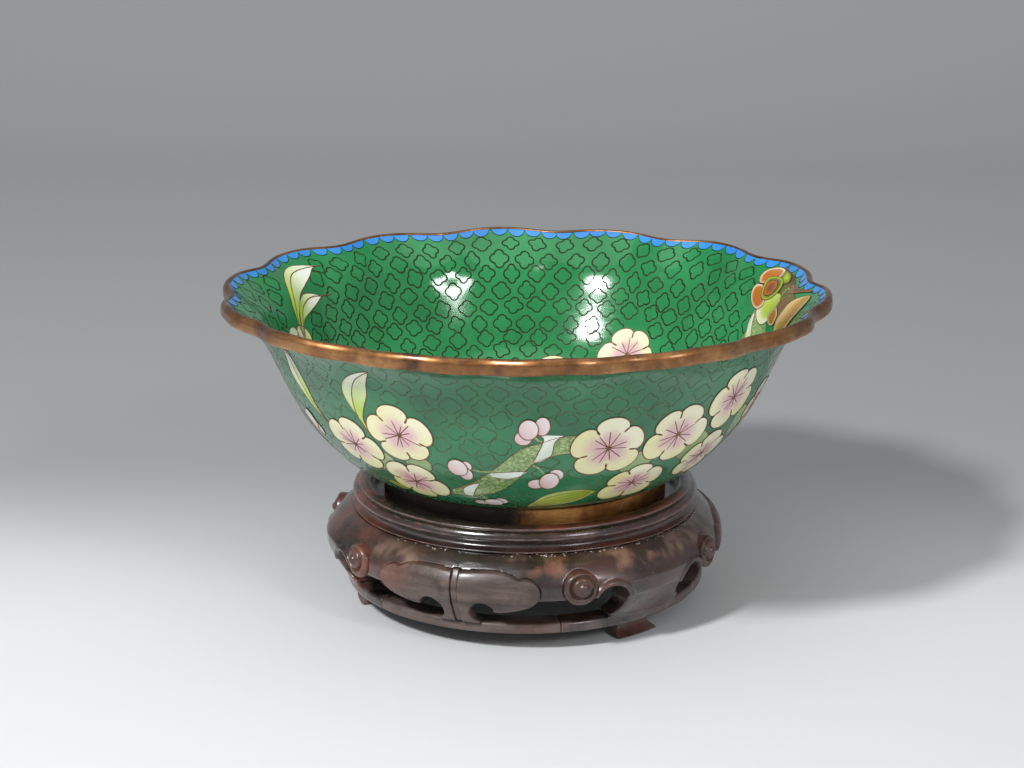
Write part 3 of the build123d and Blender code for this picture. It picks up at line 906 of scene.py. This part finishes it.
def inside_leaves(art):
    """Tall leaves on the left, the branch under the bird on the right, and two leaves near the front."""
    art.strip([(251.8, 66), (251.6, 74), (251.4, 82.6), (248.9, 91), (245, 95.2), (241, 96.4), (237.4, 95),
               (233.7, 92.9)],
              [(251.6, 66), (249.9, 76), (246.5, 82.8), (241.5, 85.6), (237.5, 88.8), (235.2, 91.8),
               (233.7, 92.7)],
              [(251.7, 66), (250.8, 77), (248.6, 87), (243.6, 92), (239.2, 93.1), (233.7, 92.8),
               (231.6, 93.2)],
              BRIGHT_LEAF, split=-0.16)
    art.strip([(251.2, 66), (249.5, 76.1), (247.9, 80.8), (244.8, 83), (241.7, 82.6), (237.5, 79.8)],
              [(251, 66), (248.5, 72.6), (244.6, 75.1), (240.8, 77.1), (237.5, 79.6)],
              [(251.1, 66), (247.6, 77), (244.2, 80), (240.6, 80.6), (237.5, 79.7), (234, 79.3)],
              BRIGHT_LEAF, split=-0.16)
    art.strip([(110, 16), (112, 24), (113, 36), (112.4, 50), (110.6, 62), (108.8, 70), (109.6, 78)],
              [(109, 16), (106, 26), (104, 38), (100.5, 52), (97, 66), (97.6, 72.5), (103, 80.5)], wood=True)
    art.strip([(107.4, 62), (108.6, 68), (109.4, 72), (109.6, 77)],
              [(103.4, 62), (105.6, 68), (107.4, 72.2), (108.6, 77)], tones=PALE_LEAF, level=0.02)
    art.strip([(111.6, 50), (110.4, 58), (109.2, 63)], [(108.4, 50), (107.4, 58), (107, 63)],
              tones=PALE_LEAF, level=0.02)


outside, inside = Art(OUT), Art(IN)
spray(outside, 0.0)
spray(outside, 150.0)
outside.blossom(71, 55.5, 13, (10, 80, 150, 220, 295), 0.5, 0.02)
outside.blossom(84, 34, 13, (40, 110, 185, 255, 330), 0.6, 0.02)
outside.blossom(-78, 36, 13.5, (25, 95, 170, 240, 310), 0.6)
outside.blossom(-92, 62, 13.5, (5, 75, 150, 220, 295), 0.5)
outside.diaper(np.arange(89, 4, -6.9), 13, 1.08, 0.56)

inside.blossom(148.6, 43.4, 14.8, (28, 92, 150, 215, 290), 0.2)
inside.blossom(254.6, 60, 14, (20, 98, 166, 240, 310), 0.6)
inside.blossom(131, 24, 14.5, (12, 84, 156, 228, 300), 0.5)
inside.blossom(160, 14, 13.6, (33, 105, 177, 249, 321), 0.6)
inside.oval(170.7, 32.4, 9, 7, (srgb(206, 232, 70), srgb(240, 238, 206)))
inside_leaves(inside)
long_tailed_bird(inside)
for bearing, s, size, turn, warm in ((20, 34, 14.5, 40, 0.4), (335, 48, 15, 10, 0.5), (352, 22, 14, 55, 0.6),
                                     (60, -24, 14, 20, 0.4), (200, -22, 13, 50, 0.5)):
    inside.blossom(bearing, s, size, [turn + 72 * i + 5 * math.sin(3 * i + bearing) for i in range(5)], warm)
inside.strip([(322, 56), (314, 68), (306, 80)], [(322, 56), (320, 70), (306, 80)],
             [(322, 56), (316.5, 68.5), (306, 80)])
inside.strip([(30, 46), (36, 62), (44, 72)], [(30, 46), (41, 58), (44, 72)], [(30, 46), (38.5, 60), (44, 72)])
inside.diaper(np.arange(94, -57, -7.5), 12.1, 1, 0.80)

for art, tag, ground in ((outside, "outside", WIRE_OUT), (inside, "inside", WIRE_IN)):
    slot = f"green_enamel_{tag}"
    art.cells.piece(f"motif_enamel_cells_{tag}", PAINTED, "bowl", slot)
    art.lines.piece(f"motif_wires_{tag}", WIRE, "bowl", "foot_brass")
    art.ground.piece(f"diaper_wires_{tag}", ground, "bowl", "foot_brass")
    art.branch.piece(f"branch_enamel_{tag}", BRANCH, "bowl", slot)


def rim_cells():
    """Half-moon blue cells that hang from the lip inside, each with its wire."""
    cells, wires = Batch(), Batch()
    count = LOBES * CELLS_PER_LOBE
    half = 180.0 / count
    u = np.linspace(-0.985, 0.985, 17)
    bell = (1 - np.abs(u) ** 2.3) ** 0.62
    v = np.linspace(0, 1, 6)[:, None]
    for k in range(count):
        centre = (k + 0.5) * 360.0 / count + rng.normal(0, 0.10)
        deep = 3.9 * rng.normal(1.0, 0.07)
        lean = rng.normal(0, 0.06)
        cells.grid(skin(centre + half * 0.96 * (u + lean * v), LIP_ARC - deep * bell * v, CELL_LIFT, IN))
        rows = []
        for down, lift in ((0, 0.10), (0.5, 0.20), (1, 0.07)):
            bearing = centre + half * (0.96 * u + lean) * (1 + 0.012 * down)
            rows.append(skin(bearing, LIP_ARC - deep * bell - 0.5 * down, lift, IN))
        wires.grid(np.stack(rows))
    cells.piece("blue_scallop_cells", BLUE, "bowl", "blue_enamel", "blue_rim_enamel")
    wires.piece("scallop_wires", WIRE_IN, "bowl", "foot_brass")


rim_cells()
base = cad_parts["base_enamel"]
base.data.materials.clear()
base.data.materials.append(GREEN_BASE)


# ---------------- carved stand

# Carving coordinates: mm round the stand at radius 80 from a leg's centre, height, radius.
DEG = 80.0 * math.pi / 180.0
LEGS = {"front_right": 40.0, "back": 160.0, "left": -80.0}
SEAMS = {"front": -20.0, "right": 100.0, "back_left": 220.0}
SEAM_TURN = 60.0
BULGE = np.array([(11, 76), (14, 78.2), (18, 80.6), (22.6, 82.9), (27.6, 84.1), (31.4, 83.6),
                  (35, 81.6), (38.4, 78.4), (41, 74.8)])
BULGE_AT, _ = cubic(BULGE[:, 0], BULGE[:, 1:2])
BAND_LOW, BAND_TOP = 24.2, 41.0
HOLE_TURN, HOLE_HEIGHT, HOLE_RADIUS = 15.0, 21.6, 7.1
BOSS_TURN, BOSS_HEIGHT, BOSS_RADIUS, BOSS_BACK = 24.9, 29.2, 6.9, 79.5
RAIL_HEIGHT, RAIL_HALF, RAIL_IN, RAIL_OUT, RAIL_TURN = 10.3, 2.3, 67.0, 77.0, 29.2
LET_IN_LOW = 12.7


def smin(a, b, k):
    """Smaller of two fields, blended over k."""
    h = np.clip(0.5 + 0.5 * (b - a) / k, 0, 1)
    return b + (a - b) * h - k * h * (1 - h)


def smax(a, b, k):
    return -smin(-a, -b, k)


def ramp(value, start, end):
    """0 before start and 1 past end."""
    return np.clip((value - start) / (end - start), 0, 1)


def hump(value, half):
    return np.exp(-((value / half) ** 2))


def sd_polygon(px, py, poly):
    """Signed distance from points to a closed polygon, negative inside."""
    d = np.full(px.shape, 1e9)
    within = np.zeros(px.shape, bool)
    for (ax, ay), (bx, by) in zip(poly, np.roll(poly, -1, axis=0)):
        ex, ey = bx - ax, by - ay
        wx, wy = px - ax, py - ay
        t = np.clip((wx * ex + wy * ey) / (ex * ex + ey * ey + 1e-12), 0, 1)
        d = np.minimum(d, (wx - ex * t) ** 2 + (wy - ey * t) ** 2)
        within ^= ((ay > py) != (by > py)) & (px < ex * (py - ay) / (ey + 1e-12) + ax)
    return np.where(within, -1, 1) * np.sqrt(d)


def cloud_outline():
    """Half cloud as (mm from the seam, height)."""
    top = [(0, 35.4), (6, 35.9), (12, 36.3), (17, 36), (21, 35.3), (23.6, 34.2), (25.2, 33.4)]
    lobe = [(25.2, 33.4), (28.2, 33.8), (31.2, 32.4), (33.4, 29.4), (33.2, 25.6), (30, 22.2), (25, 20.2),
            (19, 19), (15.4, 18.9)]
    opening = [(15.4, 18.9), (14.6, 21.2), (12.2, 23), (9.2, 23), (6.6, 21), (5.6, 18), (6.4, 15),
               (9, 13), (12.5, 12)]
    foot = [(12.5, 8), (0, 8)]
    return np.concatenate([smooth_curve(top)[:-1], smooth_curve(lobe)[:-1], smooth_curve(opening), foot])


CLOUD = cloud_outline()


class Carving:
    """Distance fields of the wood, negative inside, at turns from a leg's centre, heights and radii."""

    def __init__(self, turn, z, r):
        self.a = a = np.abs(turn)
        self.z, self.r = z, r
        self.u = a * DEG
        self.from_seam = (SEAM_TURN - a) * DEG
        out = BULGE_AT(np.clip(z, 11.0, 41.0))[..., 0]
        out = out + 0.9 * hump(a, 11.0) * ramp(z, 12, 22) * np.clip((40 - z) / 8, 0, 1)
        ridge = z - (31.5 - 0.006 * (a - 4.0) ** 2)
        self.out = out + 0.6 * hump(ridge, 2.0) * np.exp(-((a / 13.0) ** 4))
        self.cloud = cloud = sd_polygon(self.from_seam[:, :, :1], z[:, :, :1], CLOUD)
        raised = 1.5 * np.clip((0.05 - cloud) / 0.5, 0, 1) ** 0.6
        dish = 0.5 * hump(self.from_seam - 18, 12) * hump(z - 29, 5)
        groove = 0.15 * np.exp(-((cloud - 0.8) ** 2) / 1.6)
        self.surface = self.out + raised - dish * (cloud < 0) - groove

    def skin(self, surface, thick, k=0.8):
        """Wall that follows a surface at its outside."""
        return smax(self.r - surface, (surface - thick) - self.r, k)

    def leg(self):
        """Leg that narrows to a neck and flares into the toe."""
        z, r = self.z, self.r
        neck = np.clip((13.5 - z) / 7.0, 0, 1)
        toe = np.clip((5.0 - z) / 5.0, 0, 1)
        outer = self.out - 7.2 * neck**1.3 + 5.0 * toe**2
        inner = 66.5 + 3.5 * ramp(z, 8, 20) - 3.0 * np.clip((6 - z) / 6, 0, 1)
        width = 20.0 - 10.2 * np.clip((14.0 - z) / 6.5, 0, 1) ** 0.8 + 2.8 * toe**1.6
        leg = smax(smax(r - outer, inner - r, 1.2), self.u - width, 1.6)
        return smax(smax(leg, z - 30.0, 1.0), -z, 0.3)

    def ring(self):
        """The rail's full ring."""
        rail = smax(np.abs(self.z - RAIL_HEIGHT) - RAIL_HALF, self.r - RAIL_OUT, 1.6)
        return smax(rail, RAIL_IN - self.r, 0.8)

    def body(self):
        """Band, leg and rail in one, with the round holes and the bead over each."""
        band = smax(self.skin(self.surface, 8.0), self.z - BAND_TOP, 0.6)
        band = smax(band, BAND_LOW - self.z, 1.2)
        body = smin(smin(band, self.leg(), 2.4), self.ring(), 3.2)
        x, y = self.u - HOLE_TURN * DEG, self.z - HOLE_HEIGHT
        away = np.hypot(x, y)
        body = smax(body, HOLE_RADIUS - away, 1.2)
        bead = np.hypot(away - HOLE_RADIUS - 1.3, (self.r - self.out) * 0.9) - 1.15
        arc = np.arctan2(y, -x)
        bead = np.maximum(bead, np.maximum(0.15 - arc, arc - 2.75) * 5)
        return smin(body, bead, 0.6)

    def key_zone(self):
        return np.maximum(np.maximum(self.from_seam - 1.35, self.z - 36.0), LET_IN_LOW - self.z)

    def cloud_zone(self):
        """Room for a cloud panel: a let-in skin over the band, full depth below it."""
        depth = np.where(self.z > BAND_LOW, (self.surface - 4.2) - self.r, -9.0)
        zone = np.maximum(np.maximum(self.cloud, depth), 1.5 - self.from_seam)
        return np.maximum(zone, LET_IN_LOW - self.z)

    def from_boss(self):
        return self.u - BOSS_TURN * DEG, self.z - BOSS_HEIGHT

    def section(self):
        """Leg section: the body without the room of the pieces let into it."""
        f = smax(self.body(), -self.cloud_zone(), 0.35)
        f = np.maximum(f, -self.key_zone() - 0.03)
        f = np.maximum(f, -np.maximum(np.hypot(*self.from_boss()) - 6.85, BOSS_BACK - 0.2 - self.r))
        f = np.maximum(f, -np.maximum(self.z - LET_IN_LOW, (RAIL_TURN - self.a) * DEG))
        return np.maximum(f, np.where(self.z < 36.2, 0.02, -0.4) - self.from_seam)

    def boss(self):
        """Round scroll boss: a dome with a spiral groove and a nipple."""
        x, y = self.from_boss()
        away = np.hypot(x, y)
        spiral = np.hypot(x + 0.5, y - 0.5) - 4.5 - 0.24 * np.arctan2(y - 0.5, x + 0.5)
        dome = 86.7 - 0.034 * away**2 - 1.5 * hump(spiral, 0.6)
        boss = smax(smax(away - BOSS_RADIUS, self.r - dome, 1.3), BOSS_BACK - self.r, 0.3)
        nipple = np.sqrt((x + 0.8) ** 2 + (y - 0.7) ** 2 + (self.r - 85.7) ** 2) - 2.2
        return smin(boss, nipple, 0.4)

    def cloud_panel(self):
        panel = smax(np.maximum(self.skin(self.surface, 6.0), self.cloud), self.z - 40.0, 0.6)
        return smax(np.maximum(panel, self.cloud_zone()), self.cloud, 0.3)

    def key(self):
        key = smax(self.r - (self.out + 0.5), (self.out - 7.0) - self.r, 0.4)
        return smax(key, self.key_zone(), 0.3)

    def rail(self):
        return smax(self.ring(), (RAIL_TURN + 0.15 - self.a) * DEG, 0.5)


def surface_net(f, origin, step):
    """Quad mesh of the zero surface of a sampled field: one point in each cell that the surface crosses."""
    neg = f < 0
    corners = list(np.ndindex(2, 2, 2))
    nx, ny, nz = f.shape
    count = np.zeros((nx - 1, ny - 1, nz - 1), np.int8)
    for i, j, k in corners:
        count += neg[i:nx - 1 + i, j:ny - 1 + j, k:nz - 1 + k]
    cells = np.argwhere((count > 0) & (count < 8))
    ids = np.full(count.shape, -1, np.int32)
    ids[tuple(cells.T)] = np.arange(len(cells))
    val = {c: f[tuple((cells + c).T)] for c in corners}
    total, hits = np.zeros((len(cells), 3)), np.zeros(len(cells))
    for c in corners:
        for axis in range(3):
            if c[axis]:
                continue
            va, vb = val[c], val[tuple(np.array(c) + np.eye(3, dtype=int)[axis])]
            cut = (va < 0) != (vb < 0)
            t = np.where(cut, va / np.where(cut, va - vb, 1), 0)
            for d in range(3):
                total[:, d] += cut * (c[d] + (t if d == axis else 0))
            hits += cut
    verts = (cells + total / hits[:, None]) * step + origin

    quads = []
    for axis in range(3):
        b, c = (axis + 1) % 3, (axis + 2) % 3
        first, second = [slice(1, -1)] * 3, [slice(1, -1)] * 3
        first[axis], second[axis] = slice(0, -1), slice(1, None)
        n0, n1 = neg[tuple(first)], neg[tuple(second)]
        round_edge = [(0, 0), (1, 0), (1, 1), (0, 1)]
        for leaving, order in ((True, round_edge), (False, round_edge[::-1])):
            hit = np.argwhere((n0 != n1) & (n0 == leaving))
            shift = np.zeros((4, 3), int)
            shift[:, [b, c]] = order
            quads.append(np.stack([ids[tuple((hit + s).T)] for s in shift], axis=-1))
    return verts, np.concatenate(quads)


def convexity(v, q):
    """Signed curvature measure per vertex, lightly smoothed, from -1 in grooves to 1 on edges."""
    e = np.concatenate([q[:, [0, 1]], q[:, [1, 2]], q[:, [2, 3]], q[:, [3, 0]]])
    n = len(v)
    degree = np.bincount(e[:, 0], minlength=n) + np.bincount(e[:, 1], minlength=n) + 1e-9

    def spread(x):
        """Mean of each vertex's neighbours."""
        sums = [np.bincount(e[:, 0], x[e[:, 1], d], n) + np.bincount(e[:, 1], x[e[:, 0], d], n)
                for d in range(x.shape[1])]
        return np.stack(sums, axis=-1) / degree[:, None]

    face = np.cross(v[q[:, 2]] - v[q[:, 0]], v[q[:, 3]] - v[q[:, 1]])
    normal = np.zeros_like(v)
    for k in range(4):
        for d in range(3):
            normal[:, d] += np.bincount(q[:, k], face[:, d], n)
    normal /= np.linalg.norm(normal, axis=1, keepdims=True) + 1e-12
    smooth = v
    for _ in range(4):
        smooth = spread(smooth)
    curve = np.einsum("ij,ij->i", v - smooth, normal)[:, None]
    for _ in range(2):
        curve = 0.5 * curve + 0.5 * spread(curve)
    return np.clip(curve[:, 0] * 3.2, -1, 1)


def carve(part, turns, heights, radii, step, across_seam=False):
    """Mesh of a part over ranges of turn, height and radius; across a seam it is centred there."""
    ranges = ((turns[0] * DEG, turns[1] * DEG), heights, radii)
    u, z, r = (np.arange(low, high + step, step) for low, high in ranges)
    gu, gz, gr = np.meshgrid(u, z, r, indexing="ij")
    turn = gu / DEG
    if across_seam:
        turn = np.where(turn > SEAM_TURN, 2 * SEAM_TURN - turn, turn)
    v, q = surface_net(part(Carving(turn, gz, gr)), np.array([u[0], z[0], r[0]]), step)
    if across_seam:
        v[:, 0] -= SEAM_TURN * DEG
    return v, q


def mirrored(mesh):
    v, q = mesh
    return v * (-1, 1, 1), q[:, ::-1]


def wood_piece(name, mesh, bearing, material, node):
    v, q = mesh
    world = around(v[:, 2], v[:, 1], v[:, 0] / DEG + bearing)
    make_piece(name, world, [q], material, "stand", node, wear=convexity(world, q))


def carved_stand():
    """Three leg sections with their bosses, and the cloud panels, rail and key at each seam."""
    step = 0.45
    section = carve(Carving.section, (-61, 61), (-1, 42.5), (59, 90), step)
    boss = carve(Carving.boss, (18, 32), (20, 38), (77, 90), step * 0.6)
    cloud = carve(Carving.cloud_panel, (32, 60.5), (10, 39), (66, 89), step * 0.8)
    rail = carve(Carving.rail, (27, 93), (6, 15), (64, 79), step * 0.8, True)
    key = carve(Carving.key, (57, 63), (11, 38), (66, 89), step * 0.8 * 0.7, True)
    for leg, bearing in LEGS.items():
        wood_piece(f"carved_leg_section_{leg}", section, bearing, WOOD, f"leg_section_{leg}")
        for side, mesh in (("right", boss), ("left", mirrored(boss))):
            wood_piece(f"carved_scroll_{leg}_{side}", mesh, bearing, WOOD_WORN,
                       f"scroll_boss_{leg}_leg_{side}")
    for seam, bearing in SEAMS.items():
        for side, mesh, leg_turn in (("left", cloud, -SEAM_TURN), ("right", mirrored(cloud), SEAM_TURN)):
            wood_piece(f"carved_cloud_{seam}_{side}", mesh, bearing + leg_turn, WOOD_DULL,
                       f"cloud_panel_{seam}_{side}_half")
        wood_piece(f"carved_base_rail_{seam}", rail, bearing, WOOD_DULL, f"base_rail_{seam}")
        wood_piece(f"carved_seam_key_{seam}", key, bearing, WOOD_DULL, f"seam_key_{seam}")


def collar():
    """Turned top ring: cove, torus and raised edge round the bowl's recess."""
    cove = smooth_curve([(74.2, 41.9), (72.2, 42.8), (71.4, 43.8), (72, 44.7)], steps=4)
    torus = smooth_curve([(72, 44.7), (73.6, 46.2), (73.9, 47.6), (73, 49.2), (71.3, 49.9)], steps=5)
    top = smooth_curve([(71.3, 49.9), (71.2, 50.6), (69.9, 51.4), (68.2, 51.6), (66.6, 51.2), (66, 50.2)],
                       steps=4)
    section = np.concatenate([[(50, 41.2), (73.6, 41.2)], cove[:-1], torus[:-1], top,
                              [(66, 46.2), (65.6, 46), (50, 46)]])
    sweep_ring("turned_collar_ring", refine(section, 0.9), WOOD_TURNED, "dark_hardwood", "collar_ring",
               "stand", wobble=0.08, cols=540)


carved_stand()
collar()


# ---------------- stage, light, camera

def sweep_stage():
    """Floor that curves up into a back wall, in metres."""
    rise = np.linspace(0.1, math.pi / 2, 14)
    ys = np.concatenate([np.linspace(-3, 1.1, 12), 1.1 + 0.7 * np.sin(rise), np.full(4, 1.8)])
    zs = np.concatenate([np.zeros(12), 0.7 * (1 - np.cos(rise)), [1.2, 2.0, 3.0, 4.0]])
    xs = np.linspace(-3.5, 3.5, 8)
    pts = np.stack(np.broadcast_arrays(xs, ys[:, None], zs[:, None]), axis=-1)
    quads = quads_of(np.arange(pts[..., 0].size).reshape(pts.shape[:2]))
    me = bpy.data.meshes.new("studio_floor")
    me.from_pydata(pts.reshape(-1, 3).tolist(), [], quads.tolist())
    me.polygons.foreach_set("use_smooth", np.ones(len(quads), bool))
    me.materials.append(stage_paper())
    new_object("studio_floor", me)


def area_light(name, bearing, elevation, distance, size, power):
    """Oval softbox that faces the middle of the object."""
    data = bpy.data.lights.new(name, "AREA")
    data.shape = "ELLIPSE"
    data.size, data.size_y = size
    data.energy = power
    ob = new_object(name, data)
    a, e = math.radians(bearing), math.radians(elevation)
    back = np.array([math.sin(a) * math.cos(e), -math.cos(a) * math.cos(e), math.sin(e)])
    ob.location = np.array((0, 0, 0.07)) + back * distance
    ob.rotation_mode = "QUATERNION"
    ob.rotation_quaternion = Vector(-back).to_track_quat("-Z", "Y")


def camera():
    data = bpy.data.cameras.new("photo_camera")
    data.sensor_width = 36.0
    data.lens = 75.55078125
    ob = new_object("photo_camera", data)
    ob.location = (-0.0055, -0.885, 0.331)
    ob.rotation_euler = (math.radians(90 - 15.13), 0, 0)
    bpy.context.scene.camera = ob


sweep_stage()
area_light("key_softbox", bearing=-41, elevation=42.4, distance=1.6, size=(0.19, 0.22), power=22)
area_light("fill_softbox", bearing=38, elevation=30, distance=2.2, size=(0.42, 0.46), power=9.5)
area_light("top_fill", bearing=0, elevation=86, distance=2.2, size=(2.4, 2.4), power=9)
world = bpy.data.worlds.new("studio_world")
bpy.context.scene.world = world
world.use_nodes = True
background = world.node_tree.nodes["Background"]
background.inputs["Color"].default_value = (0.86, 0.88, 0.9, 1)
background.inputs["Strength"].default_value = 0.42
camera()
bpy.context.scene.view_settings.view_transform = "Standard"
